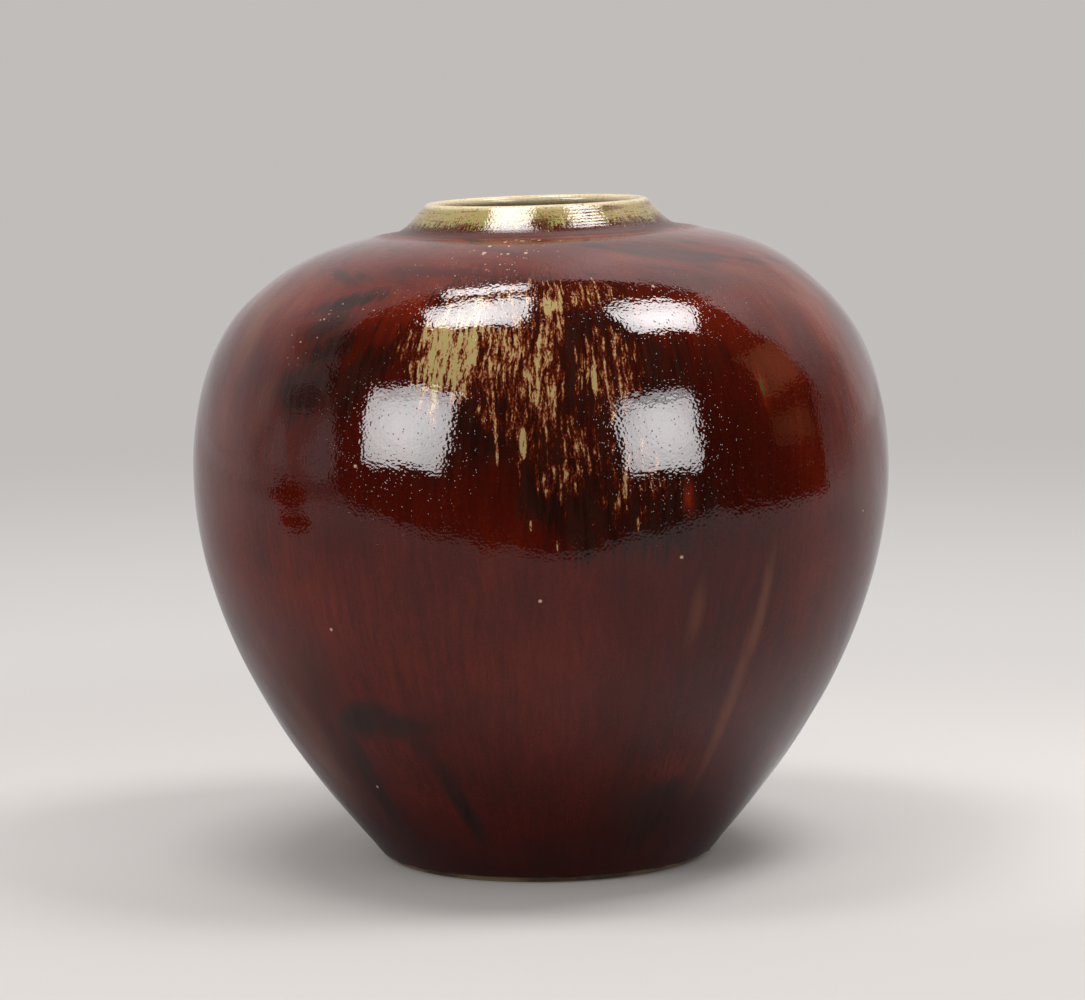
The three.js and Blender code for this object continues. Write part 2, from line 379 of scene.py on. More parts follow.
def turned(name, profile, finish, shape=None):
    """A piece turned about the axis from the stretches of its profile, up the outside and down the inside.

    The profile starts and ends on the axis, or closes on itself. shape gives small shifts of what is seen.
    """
    rows = np.vstack(profile)
    points, normals, runs, shown = rows[:, :2], rows[:, 2:4], rows[:, 4], rows[:, 5]
    closes = points[0, 0] > 0
    turns = np.linspace(-180, 180, SEGMENTS + 1)[:-1]
    radius = np.repeat(points[:, :1], SEGMENTS, axis=1)
    height = np.repeat(points[:, 1:], SEGMENTS, axis=1)
    if shape is not None:
        out, along = (shift * shown[:, None] for shift in shape(turns, runs))
        radius = radius + out * normals[:, :1] - along * normals[:, 1:]
        height = height + out * normals[:, 1:] + along * normals[:, :1]
    theta = np.radians(turns)
    x = radius * np.sin(theta)
    y = -radius * np.cos(theta)
    follow = math.tan(math.radians(MOUTH_TILT)) * smoothstep(height, NECK_HEIGHT - TILT_RUN, NECK_HEIGHT)
    places = np.stack([x, y, height + follow * x], axis=2) * METRES
    count = len(rows)
    bands = count if closes else count - 1
    j, i = np.divmod(np.arange(bands * SEGMENTS), SEGMENTS)
    corner_rows = np.stack([j, j, j + 1, j + 1], axis=1)
    corner_columns = np.stack([i, i + 1, i + 1, i], axis=1)
    numbers = (corner_rows % count) * SEGMENTS + corner_columns % SEGMENTS
    mesh = bpy.data.meshes.new(name)
    mesh.from_pydata(places.reshape(-1, 3).tolist(), [], numbers.tolist())
    around = corner_columns.ravel() / SEGMENTS
    add_map(mesh, "wall", around, runs[corner_rows.ravel() % count] * METRES)
    add_map(mesh, "OFBake", around, unrolled(points, shown, closes)[corner_rows.ravel()])
    close_axis(mesh)
    mesh.polygons.foreach_set("use_smooth", [True] * len(mesh.polygons))
    mesh.set_sharp_from_angle(angle=math.radians(SHARP_ANGLE))
    mesh.materials.append(finish)
    piece = placed(name, mesh)
    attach(piece, "root")
    return piece


def add_map(mesh, name, u, v):
    mesh.uv_layers.new(name=name).data.foreach_set("uv", np.stack([u, v], axis=1).ravel())


def unrolled(points, shown, closes):
    """Where each row lies, from 0 to 1, in the map for baking the finish. Hidden rows take little of it."""
    hidden_share = 0.03
    least_step = 0.1
    if closes:
        points = np.vstack([points, points[:1]])
        shown = np.append(shown, shown[:1])
    steps = np.hypot(*np.diff(points, axis=0).T)
    share = np.where(np.minimum(shown[1:], shown[:-1]) > 0, 1, hidden_share)
    steps = np.maximum(steps, least_step) * share
    edges = np.concatenate([[0], np.cumsum(steps)])
    return edges / edges[-1]


def close_axis(mesh):
    """Joins the points that lie together on the axis."""
    reach = 1e-6
    shape = bmesh.new()
    shape.from_mesh(mesh)
    on_axis = [v for v in shape.verts if math.hypot(v.co.x, v.co.y) < reach]
    if on_axis:
        bmesh.ops.remove_doubles(shape, verts=on_axis, dist=reach)
    shape.to_mesh(mesh)
    shape.free()


# The pieces of the pot


def thrown_base(finish):
    """The lower bowl, with its turned foot ring, its floor and the inner half of the belly joint."""
    clay_start = OUTLINE.at(np.array([GLAZE_START]), clay_depth(GLAZE_START))[0]
    outside = clay_start[0] - FOOT_INSET
    inside = outside - FOOT_RING
    recess = point(inside - RECESS_SLOPE, FOOT_RECESS)
    bevel = point(outside + FOOT_BEVEL, FOOT_BEVEL)
    underside = point(outside, 0)
    rounded = bezier([underside, point(outside + FOOT_BEVEL * 0.8, 0.05), bevel], BEVEL_POINTS)
    return turned(
        "thrown_base",
        [
            stretch(line(point(0, FOOT_RECESS), recess, CLAY_SPACING)),
            stretch(line(recess, point(inside, 0), CLAY_SPACING / 2)),
            stretch(line(point(inside, 0), underside, CLAY_SPACING)),
            stretch(rounded[1:]),
            stretch(line(bevel, clay_start, CLAY_SPACING / 2)[1:]),
            surface(GLAZE_START, JOINT_RUN, clay_depth)[1:],
            corner(between(JOINT_RUN)),
            corner(between(STEP_RUN)),
            surface(STEP_RUN, HEEL_RUNS[0], back_depth),
            corner(clay_floor()[-2::-1]),
        ],
        finish,
        clay_relief,
    )


def thrown_shoulder(finish):
    """The shoulder, thrown apart and set on the base's tongue. Its inner half ends in the collar's ledge."""
    return turned(
        "thrown_shoulder",
        [
            corner(between(JOINT_RUN)),
            surface(JOINT_RUN, LEDGE_RUN, clay_depth),
            corner(between(LEDGE_RUN)),
            corner(between(OUTLINE.neck)),
            surface(OUTLINE.neck, STEP_RUN, back_depth),
            corner(between(STEP_RUN)),
        ],
        finish,
    )


def thrown_collar(finish):
    """The collar, thrown as a ring, with its outer half resting on the shoulder's ledge."""
    return turned(
        "thrown_collar",
        [
            corner(between(LEDGE_RUN)),
            surface(LEDGE_RUN, OUTLINE.top, clay_depth, HIDDEN_COLLAR_SPACING),
            corner(clay_lip()),
            surface(OUTLINE.top, OUTLINE.neck, back_depth, HIDDEN_COLLAR_SPACING),
            corner(between(OUTLINE.neck)),
        ],
        finish,
    )


def red_coat(finish):
    """The red glaze over the outside, from its roll above the bare foot to the foot of the collar."""
    crowding = 1.6
    rounding = np.linspace(0, 1, ROLL_POINTS)[1:-1] ** crowding
    runs = np.concatenate([
        [GLAZE_START],
        GLAZE_START + ROLL_WIDTH * rounding,
        spaced(GLAZE_START + ROLL_WIDTH, ROLL_END, ROLL_SPACING),
        spaced(ROLL_END, GROOVE_START, ROW_SPACING)[1:],
        spaced(GROOVE_START, OUTLINE.neck, GROOVE_SPACING)[1:],
    ])
    across = np.clip((runs - GLAZE_START) / ROLL_WIDTH, 0, 1)
    swell = (GLAZE_ROLL - OUTER_GLAZE) * np.exp(-(((runs - GLAZE_START - ROLL_WIDTH) / ROLL_FADE) ** 2))
    thickness = (OUTER_GLAZE + swell) * np.sqrt(1 - (1 - across) ** 2)
    skin = OUTLINE.at(runs, OUTER_GLAZE - thickness)
    return turned(
        "red_coat",
        [stretch(skin, runs), surface(OUTLINE.neck, GLAZE_START + ROLL_BACK, clay_depth)],
        finish,
        relief,
    )


def collar_coat(finish):
    """The thin straw-coloured glaze on the collar, over the lip and down inside it."""
    up = spaced(OUTLINE.neck, OUTLINE.top, COLLAR_SPACING)
    over = np.linspace(0, LIP_LENGTH, LIP_POINTS)[1:-1]
    down = up[::-1]
    lip = OUTLINE.lip(LIP_THICKNESS / 2, LIP_POINTS)[1:-1]
    skin = np.vstack([OUTLINE.at(up), lip, OUTLINE.at(down, liner_depth(down))])
    runs = np.concatenate([up, OUTLINE.top + over, 2 * OUTLINE.top + LIP_LENGTH - down])
    return turned(
        "collar_coat",
        [
            stretch(skin, runs),
            surface(OUTLINE.neck, OUTLINE.top, back_depth, HIDDEN_COLLAR_SPACING),
            corner(clay_lip()[::-1]),
            surface(OUTLINE.top, OUTLINE.neck, clay_depth, HIDDEN_COLLAR_SPACING),
        ],
        finish,
        relief,
    )


def liner_coat(finish):
    """The liner glaze that makes the inside hold water, over the floor and up to the collar's foot."""
    down = spaced(OUTLINE.neck, HEEL_RUNS[0], LINER_SPACING)
    wall = OUTLINE.at(down, liner_depth(down))
    floor = floor_points(liner_depth, FLOOR_THICKNESS)[-2::-1]
    heel = HEEL_RUNS[0] - travelled(np.vstack([wall[-1:], floor]))[1:]
    return turned(
        "liner_coat",
        [
            corner(clay_floor()),
            surface(HEEL_RUNS[0], OUTLINE.neck, back_depth)[1:],
            stretch(np.vstack([wall, floor]), np.concatenate([down, heel])),
        ],
        finish,
    )


# Short ways of making the finishes


def tint(red, green, blue):
    """A colour from its screen values, 0 to 255."""
    linear = [c / 255 / 12.92 if c <= 10 else ((c / 255 + 0.055) / 1.055) ** 2.4 for c in (red, green, blue)]
    return (*linear, 1.0)


class Wire:
    """A value that changes over a surface, and can be reckoned with like a number."""

    def __init__(self, recipe, socket):
        self.recipe = recipe
        self.socket = socket

    def __add__(self, other):
        return self.recipe.math("ADD", self, other)

    def __sub__(self, other):
        return self.recipe.math("SUBTRACT", self, other)

    def __rsub__(self, other):
        return self.recipe.math("SUBTRACT", other, self)

    def __mul__(self, other):
        return self.recipe.math("MULTIPLY", self, other)

    def __truediv__(self, other):
        return self.recipe.math("DIVIDE", self, other)

    __radd__ = __add__
    __rmul__ = __mul__


class Recipe:
    """The nodes of one finish or group, added by short calls."""

    def __init__(self, tree):
        self.tree = tree

    def feed(self, socket, value):
        if isinstance(value, Wire):
            self.tree.links.new(value.socket, socket)
        else:
            socket.default_value = value

    def node(self, kind, feeds=None, **settings):
        made = self.tree.nodes.new("ShaderNode" + kind)
        for name, value in settings.items():
            setattr(made, name, value)
        for name, value in (feeds or {}).items():
            self.feed(made.inputs[name], value)
        return made

    def out(self, made, name=0):
        return Wire(self, made.outputs[name])

    def math(self, operation, *values):
        return self.out(self.node("Math", dict(enumerate(values)), operation=operation))

    def vector(self, operation, *values):
        return self.out(self.node("VectorMath", dict(enumerate(values)), operation=operation))

    def least(self, *values):
        return self.math("MINIMUM", *values)

    def most(self, *values):
        return self.math("MAXIMUM", *values)

    def step(self, value, low, high):
        """0 before low and 1 past high, smooth between. It falls where low is the greater."""
        feeds = {"Value": value, "From Min": low, "From Max": high}
        return self.out(self.node("MapRange", feeds, interpolation_type="SMOOTHSTEP"))

    def blend(self, share, under, over):
        return self.out(self.node("Mix", {0: share, 6: under, 7: over}, data_type="RGBA"), 2)

    def place(self, kind="Object"):
        return self.out(self.node("TexCoord"), kind)

    def parts(self, vector):
        """The X, Y and Z of a vector."""
        made = self.node("SeparateXYZ", {0: vector})
        return [self.out(made, name) for name in "XYZ"]

    def joined(self, x, y, z):
        return self.out(self.node("CombineXYZ", {0: x, 1: y, 2: z}))

    def stretched(self, place, size, seed):
        """A place measured in steps of a size, one for each direction, and moved by a seed."""
        across, deep, along = size if isinstance(size, tuple) else (size, size, size)
        shift = (seed * 3.71, seed * 5.13, seed * 2.29)
        return self.vector("MULTIPLY_ADD", place, (1 / across, 1 / deep, 1 / along), shift)

    def noise(self, place, size, seed, detail=2.0, rough=0.5):
        """Soft noise about 0.5, with features of about the size given in millimetres."""
        feeds = {"Scale": 1.0, "Detail": detail, "Roughness": rough}
        return self.out(self.node("TexNoise", {"Vector": self.stretched(place, size, seed), **feeds}))

    def cells(self, place, size, seed):
        """Scattered cells: how far each point is from its cell's middle, and three chances for the cell."""
        made = self.node("TexVoronoi", {"Vector": self.stretched(place, size, seed), "Scale": 1.0})
        chances = self.node("SeparateColor", {0: self.out(made, "Color")})
        return self.out(made), [self.out(chances, name) for name in ("Red", "Green", "Blue")]

    def ramp(self, value, stops):
        """Colours along a value, from pairs of position and colour."""
        made = self.node("ValToRGB", {"Fac": value})
        elements = made.color_ramp.elements
        while len(elements) < len(stops):
            elements.new(0.5)
        for element, (position, colour) in zip(elements, stops):
            element.position = position
            element.color = colour
        return self.out(made)

    def use(self, group, **feeds):
        """Places a group, and gives its outputs by name."""
        made = self.node("Group", feeds, node_tree=group)
        return {socket.name: Wire(self, socket) for socket in made.outputs}


SOCKETS = {"value": "NodeSocketFloat", "vector": "NodeSocketVector", "colour": "NodeSocketColor"}


def group(name, build, inputs, outputs):
    """A node group. inputs and outputs give the kind of each named socket, and build makes its outputs."""
    tree = bpy.data.node_groups.new(name, "ShaderNodeTree")
    for way, sockets in (("INPUT", inputs), ("OUTPUT", outputs)):
        for label, kind in sockets.items():
            tree.interface.new_socket(name=label, in_out=way, socket_type=SOCKETS[kind])
    recipe = Recipe(tree)
    entry = tree.nodes.new("NodeGroupInput")
    leaving = tree.nodes.new("NodeGroupOutput")
    made = build(recipe, **{label: Wire(recipe, entry.outputs[label]) for label in inputs})
    for label in outputs:
        tree.links.new(made[label].socket, leaving.inputs[label])
    return tree


# Node groups shared by the finishes


def build_pot_place(r):
    """Where a point lies on the pot: its turn and run, and places for noise in millimetres."""
    around, up, _ = r.parts(r.out(r.node("UVMap", uv_map="wall")))
    turn = around * 360 - 180
    run = up / METRES
    theta = turn * (math.pi / 180)
    flow = r.joined(r.math("SINE", theta) * PATTERN_RADIUS, r.math("COSINE", theta) * -PATTERN_RADIUS, run)
    place = r.vector("MULTIPLY", r.place(), (1 / METRES,) * 3)
    return {"Turn": turn, "Run": run, "Flow": flow, "Place": place}


def build_patch(r, Turn, Run, CentreTurn, CentreRun, HalfTurn, HalfRun, Lean, Ragged, Softness):
    """A soft-edged oval patch. Lean tips it, in degrees of turn for each millimetre of run."""
    rise = Run - CentreRun
    across = (Turn - CentreTurn - rise * Lean) / HalfTurn
    up = rise / HalfRun
    distance = r.math("SQRT", across * across + up * up) + Ragged
    return {"Mask": r.step(distance, 1 + Softness, 1 - Softness)}


def build_skin(r, Place, PeelSize, PeelHeight, DimpleDepth):
    """The fired surface: an orange-peel texture with fine dimples, and a pinhole here and there."""
    moved = r.vector("DIVIDE", Place, PeelSize)
    peel = r.out(r.node("TexNoise", {"Vector": moved, "Scale": 1.0, "Detail": 0.0}))
    peel = peel + r.noise(Place, (7.0, 7.0, 4.0), 9, 0.0) * 1.3
    bubble, (_, depth, _) = r.cells(Place, 1.9, 6)
    dimple = r.step(bubble, 0.30, 0.08) * depth * depth
    pit, (chance, _, _) = r.cells(Place, 21.0, 4)
    hole = r.step(pit, 0.045, 0.02) * r.step(chance, 0.80, 0.84)
    return {"Height": peel * PeelHeight - dimple * DimpleDepth - hole * 0.35, "Pinholes": hole}


POT_PLACE = group(
    "pot place", build_pot_place, {}, {"Turn": "value", "Run": "value", "Flow": "vector", "Place": "vector"}
)
PATCH_SHAPE = ["CentreTurn", "CentreRun", "HalfTurn", "HalfRun", "Lean"]
PATCH = group(
    "glaze patch",
    build_patch,
    dict.fromkeys(["Turn", "Run", *PATCH_SHAPE, "Ragged", "Softness"], "value"),
    {"Mask": "value"},
)
GLAZE_SKIN = group(
    "fired skin",
    build_skin,
    {"Place": "vector", "PeelSize": "vector", "PeelHeight": "value", "DimpleDepth": "value"},
    {"Height": "value", "Pinholes": "value"},
)

# How deep a height of 1 is in metres, for the glazes and the bare clay, and how strongly they mirror
SKIN_DEPTH = 0.0001
CLAY_DEPTH = 0.0005
FIRED_IOR = 1.5

# The colours of the fired glazes and the clay
BROWN_BLACK = tint(30, 12, 8)
LIVER = tint(44, 20, 14)
OXBLOOD_DEEP = tint(46, 10, 5)
OXBLOOD = tint(68, 14, 5)
OXBLOOD_BRIGHT = tint(92, 24, 9)
OXBLOOD_PALE = tint(120, 50, 30)
FUR_DARK = tint(48, 12, 5)
RUST_DARK = tint(70, 22, 9)
RUST = tint(98, 40, 18)
TAN = tint(126, 76, 46)
BUFF = tint(146, 108, 72)
STRAW = tint(166, 140, 96)
CELADON = tint(150, 144, 88)
GREEN = tint(52, 66, 32)
EMBER = tint(128, 38, 18)
PALE_BROWN = tint(124, 76, 52)
PALE_SPECK = tint(206, 168, 140)
# Pale glaze of the lip, made paler still as a painted highlight on its top
HONEY_AND_HIGHLIGHT = tint(232, 214, 176)
CLAY = tint(136, 112, 86)
CLAY_DARK = tint(84, 65, 48)
GROG = tint(58, 42, 32)


def cleared(owner):
    """A material or a world, with no nodes yet."""
    owner.use_nodes = True
    owner.node_tree.nodes.clear()
    return owner, Recipe(owner.node_tree)


def new_finish(name):
    return cleared(bpy.data.materials.new(name))


def mixed(r, share, first, second):
    """One shader laid over another, by a share."""
    made = r.node("MixShader", {0: share})
    r.tree.links.new(first.outputs[0], made.inputs[1])
    r.tree.links.new(second.outputs[0], made.inputs[2])
    return made


def finish_with(r, shader, kind="OutputMaterial"):
    r.tree.links.new(shader.outputs[0], r.node(kind).inputs["Surface"])


def fired(r, colour, roughness, height, depth=SKIN_DEPTH):
    """Finishes a material: one Principled shader, with the depth of its bump given in metres."""
    normal = r.out(r.node("Bump", {"Height": height, "Strength": 1.0, "Distance": depth}))
    feeds = {"Base Color": colour, "Roughness": roughness, "IOR": FIRED_IOR, "Normal": normal}
    finish_with(r, r.node("BsdfPrincipled", feeds))


def straying(r, flow, place, size, seed, across, deep):
    """The way down the pot, straying sideways by a few millimetres."""
    stray = r.noise(place, size, seed) - 0.5
    return r.vector("ADD", flow, r.joined(stray * across, stray * deep, 0.0))


def build_oxblood(r, Flow, Place, Warmth, Darkness, Streaks):
    """The copper-red glaze by itself: fine runs, clouds of brown, and a fine mottle."""
    flow = straying(r, Flow, Place, (60.0, 60.0, 80.0), 1, 16, 10)
    fine = (r.noise(flow, (1.2, 1.2, 11.0), 2, 2.5, 0.6) - 0.5) * Streaks
    medium = (r.noise(flow, (4.6, 4.6, 46.0), 3, 2.0, 0.55) - 0.5) * Streaks
    broad = r.noise(Place, (46.0, 46.0, 70.0), 4, 2.5) - 0.5
    mottle = r.noise(Place, 1.3, 5, 1.5) - 0.5
    warmth = Warmth + fine * 0.19 + medium * 0.24 + broad * 0.44 + mottle * 0.26
    colour = r.ramp(warmth, [
        (0.0, LIVER), (0.25, OXBLOOD_DEEP), (0.5, OXBLOOD), (0.75, OXBLOOD_BRIGHT), (1.0, OXBLOOD_PALE),
    ])
    share = r.step(Darkness + (fine + medium + broad + mottle) * Darkness * 0.9, 0.05, 0.95)
    return {"Color": r.blend(share, colour, r.blend(r.step(medium, -0.14, 0.14), BROWN_BLACK, LIVER))}


OXBLOOD_GLAZE = group(
    "oxblood glaze",
    build_oxblood,
    {"Flow": "vector", "Place": "vector", "Warmth": "value", "Darkness": "value", "Streaks": "value"},
    {"Color": "colour"},
)

# Patches in the glaze: turn and run of the centre, half size in each, lean, and strength. Turns are in
# degrees, runs in millimetres, and the lean is in degrees of turn for each millimetre of run.
DARK_CLOUDS = {
    "round the straw fur": (0, 352, 26, 62, 0.0, 0.92),
    "below the fur": (5, 280, 11, 34, 0.0, 0.95),
    "right of the fur": (18, 272, 9, 30, 0.0, 0.85),
    "left shoulder, crest": (-41.5, 393, 5.5, 12, 0.45, 0.85),
    "left shoulder, broad": (-42, 376, 6.0, 16, 0.2, 0.72),
    "left shoulder, low": (-41, 336, 7.5, 18, 0.1, 0.88),
    "left shoulder, right": (-31.5, 342, 3.8, 22, 0.1, 0.92),
    "left shoulder, middle": (-38.5, 362, 6.0, 15, 0.2, 0.90),
    "left of the fur": (-26.5, 356, 2.4, 20, 0.15, 0.85),
    "left, low": (-46, 165, 8, 42, 0.0, 0.38),
    "right of the foot": (27, 62, 9, 32, 0.02, 0.75),
    "foot, right": (38, 45, 6, 40, 0.0, 0.50),
    "right shoulder": (54, 350, 4, 30, 0.0, 0.40),
    "right band": (61, 247, 5, 70, 0.02, 0.28),
    "crown, right": (24, 404, 24, 12, 0.0, 0.50),
    "crown, left": (-24, 424, 16, 6, -0.3, 0.45),
}
WARM_CLOUDS = {
    "middle, low": (-4, 200, 40, 62, 0.0, 0.16),
    "left side": (-68, 250, 28, 110, 0.0, 0.18),
    "right side": (72, 250, 28, 110, 0.0, 0.22),
    "left shoulder, lower": (-64, 322, 7, 20, 0.0, 0.15),
    "right shoulder": (44, 348, 7, 26, 0.0, 0.15),
    "right edge": (65, 345, 9, 45, 0.0, 0.26),
    "in the arch": (-33, 88, 7, 34, -0.06, 0.08),
}
ARCH = {
    "top, left": (-37.5, 133, 6.0, 13, 0.2, 0.95),
    "top, right": (-30.5, 131, 9.5, 9, 0.0, 0.74),
    "left leg": (-43.4, 76, 2.8, 56, 0.0, 0.90),
    "right leg": (-20.5, 74, 2.5, 38, -0.082, 0.78),
    "link": (-25.5, 116, 3.0, 14, -0.15, 0.50),
}
COOL_CLOUDS = {
    "right, low": (27, 190, 16, 70, 0.0, 0.12),
    "right belly": (26, 300, 14, 44, 0.0, 0.16),
    "left of the fur": (-28, 288, 16, 44, 0.0, 0.10),
}
FUR = {
    "core": (-15.2, 359, 7.0, 31, 0.01, 0.70),
    "left of the core": (-23, 366, 4, 20, 0.0, 0.28),
    "beside the core": (-8.5, 356, 4, 30, 0.0, 0.50),
    "middle": (-2.5, 356, 9, 38, 0.0, 0.46),
    "right group": (11.0, 346, 7.0, 28, 0.0, 0.37),
    "top": (3, 402, 15, 13, 0.0, 0.40),
    "top, left": (-12, 398, 8, 13, 0.0, 0.46),
    "top, middle": (2.5, 393, 3.0, 8, 0.0, 0.66),
    "below the middle": (-3.5, 322, 9, 16, 0.0, 0.38),
    "low": (4, 300, 8, 30, 0.0, 0.31),
    "low right": (14, 286, 7, 30, 0.0, 0.29),
}
FUR_GAPS = {"right of the middle": (5.0, 352, 0.9, 24, 0.0, 0.22)}
DROPS = {
    "celadon, left": (-2.7, 306.3, 0.6, 10, 0.0, 0.78),
    "celadon, right": (9.0, 341.3, 0.6, 10, 0.0, 0.78),
    "long straw": (2.2, 330, 0.6, 20, 0.0, 0.64),
    "straw, high": (3.9, 374, 0.8, 14, 0.0, 0.58),
    "thin, left": (-6.7, 299.4, 0.25, 7, 0.0, 0.60),
    "right": (12.8, 279.2, 0.5, 8, 0.0, 0.62),
    "thin, right": (14.9, 259.1, 0.3, 6, 0.0, 0.66),
    "low, right of middle": (3.0, 275, 0.25, 5, 0.0, 0.54),
    "low, left of middle": (-1.7, 259.8, 0.22, 3.5, 0.0, 0.52),
    "lowest": (2.3, 247.8, 0.15, 4, 0.0, 0.48),
    "by the ember": (21.9, 277, 0.2, 7, 0.0, 0.56),
}
EMBERS = {
    "right of the fur": (23.2, 272, 1.0, 10, 0.0, 0.75),
    "round the green": (39.2, 332, 1.1, 13, 0.0, 0.55),
    "above the foot": (28, 96, 5, 10, 0.0, 0.30),
}
GREEN_SPOTS = {"in the ember": (39.1, 333, 0.36, 6.0, 0.0, 0.90)}
PALE_STREAKS = {
    "right, high": (38.6, 200, 1.0, 30, 0.02, 0.44),
    "right, low": (37.0, 140, 1.3, 44, 0.01, 0.34),
    "left shoulder": (-65, 373, 3.4, 20, -0.08, 0.40),
    "left shoulder, low": (-52, 322, 2.2, 18, 0.05, 0.14),
    "left of the arch": (-58, 100, 5.0, 40, 0.0, 0.24),
    "right of middle": (25.6, 204, 1.1, 16, 0.02, 0.25),
}
COLLAR_BLOTS = {
    "middle": (2.5, 496.0, 5.0, 5.5, 0.0, 0.85),
    "right": (24.5, 503, 2.0, 5.5, 0.0, 0.85),
    "left": (-36, 494.5, 9, 2.5, 0.0, 0.70),
    "far right": (38, 506, 9, 2.2, 0.0, 0.55),
}
FINE_BEADS = {
    "below the collar": (-6, 452, 17, 13, 0.0, 0.80),
    "crown, left": (-14, 432, 18, 14, 0.0, 0.80),
    "left shoulder": (-42, 378, 7, 26, 0.3, 0.80),
}
# The larger beads of glaze spattered below the collar: turn, run, half turn and half run
BEADS = [
    (-14.7, 449.5, 0.5, 2.4), (-14.6, 462.6, 0.7, 1.5), (-10.7, 471.0, 0.5, 1.6), (-7.4, 476.5, 0.5, 1.5),
    (-5.0, 473.4, 0.7, 1.4), (-1.3, 477.0, 0.7, 1.3), (0.8, 474.1, 0.8, 1.3), (-3.1, 448.1, 0.5, 1.6),
    (-8.7, 461.7, 0.4, 1.2), (7.9, 471.6, 0.3, 1.0), (-7.9, 447.3, 0.4, 1.0), (-9.7, 447.3, 0.3, 0.9),
]
PINHOLES = {
    "left of middle": (-30.1, 292.3),
    "lower left": (-38.1, 193.7),
    "in the arch": (-42.8, 79.8),
    "below the belly": (-0.5, 215.4),
    "right": (22.2, 238.0),
    "right shoulder": (24.5, 405.0),
}
PINHOLE_SIZE = (0.28, 0.9)


def patch_at(r, spot, shape, ragged, softness):
    """How far each point lies in one patch, from 0 to 1."""
    feeds = dict(zip(PATCH_SHAPE, shape), Ragged=ragged, Softness=softness)
    return r.use(PATCH, Turn=spot["Turn"], Run=spot["Run"], **feeds)["Mask"]


def patches(r, spot, places, ragged, softness, join="MAXIMUM"):
    """The strongest, or the sum, of several patches at each point."""
    total = 0.0
    for *shape, strength in places.values():
        total = r.math(join, patch_at(r, spot, shape, ragged, softness) * strength, total)
    return total


def oxblood(r, spot, warmth, darkness, streaks):
    """The copper-red glaze's colour."""
    looks = {"Warmth": warmth, "Darkness": darkness, "Streaks": streaks}
    return r.use(OXBLOOD_GLAZE, Flow=spot["Flow"], Place=spot["Place"], **looks)["Color"]


def red_glaze():
    material, r = new_finish("red glaze")
    spot = r.use(POT_PLACE)
    run, flow, place = spot["Run"], spot["Flow"], spot["Place"]
    feather = (r.noise(flow, (2.4, 2.4, 30.0), 25, 2.0, 0.6) - 0.5) * 1.3
    soft = (r.noise(flow, (24.0, 24.0, 40.0), 21, 3.0, 0.55) - 0.5) * 1.6 + feather
    dark = r.most(patches(r, spot, DARK_CLOUDS, soft, 0.62), patches(r, spot, ARCH, soft * 0.5, 0.7))
    swirled = r.vector("ADD", flow, r.joined(0.0, 0.0, spot["Turn"] * 1.1))
    wisps = r.noise(swirled, (70.0, 70.0, 13.0), 22, 3.0, 0.55)
    crown = r.step(run, 385, 425)
    dark = r.most(dark, r.step(wisps, 0.50, 0.68) * crown * 0.62)
    behind = r.math("ABSOLUTE", spot["Turn"])
    clouds = r.noise(flow, (42.0, 42.0, 70.0), 23, 3.0, 0.55)
    dark = r.most(dark, r.step(clouds, 0.50, 0.66) * r.step(behind, 75, 110) * 0.85)
    warmth = patches(r, spot, WARM_CLOUDS, soft, 0.9, "ADD")
    warmth = warmth - patches(r, spot, COOL_CLOUDS, soft, 0.9, "ADD")
    warmth = warmth + 0.44 + r.step(run, 335, 400) * 0.30 - r.step(run, 90, 10) * 0.10
    warmth = warmth + (wisps - 0.5) * crown * -0.5
    streaks = 1.0 - r.most(crown * 0.65, r.step(spot["Turn"], 38, 56) * 0.45)
    colour = oxblood(r, spot, warmth, dark, streaks)
    grain = (r.noise(flow, (1.6, 1.6, 14.0), 24, 2.0, 0.6) - 0.5) * 2.4
    colour = r.blend(patches(r, spot, PALE_STREAKS, soft * 0.5, 0.8), colour, PALE_BROWN)
    colour = r.blend(patches(r, spot, EMBERS, grain, 0.7) * r.step(grain, -0.3, 0.2), colour, EMBER)
    colour = straw_fur(r, spot, colour)
    colour = r.blend(patches(r, spot, GREEN_SPOTS, grain * 0.5, 0.4), colour, GREEN)
    skin = r.use(GLAZE_SKIN, Place=place, PeelSize=(1.7, 1.7, 1.4), PeelHeight=0.52, DimpleDepth=0.85)
    beads = shoulder_beads(r, spot)
    specks = r.most(skin["Pinholes"], beads)
    for centre in PINHOLES.values():
        specks = r.most(specks, patch_at(r, spot, (*centre, *PINHOLE_SIZE, 0.0), 0.0, 0.45))
    colour = r.blend(specks * 0.85, colour, PALE_SPECK)
    duller = r.step(r.math("ABSOLUTE", run - OUTLINE.neck), 16.0, 3.0) * 0.25
    fired(r, colour, duller + 0.03, skin["Height"] + beads * 1.2)
    return material


def shoulder_beads(r, spot):
    """Pale beads of glaze spattered over the shoulder, below the collar: a few large, and many tiny."""
    bead, (_, size, chance) = r.cells(spot["Place"], 3.1, 71)
    total = r.step(bead - size * 0.12, 0.15, 0.06) * r.step(chance, 0.60, 0.66)
    total = total * patches(r, spot, FINE_BEADS, 0.0, 0.5)
    ragged = (r.noise(spot["Place"], 1.6, 72, 1.0) - 0.5) * 1.8
    for shape in BEADS:
        total = r.most(total, patch_at(r, spot, (*shape, 0.0), ragged, 0.3))
    return total


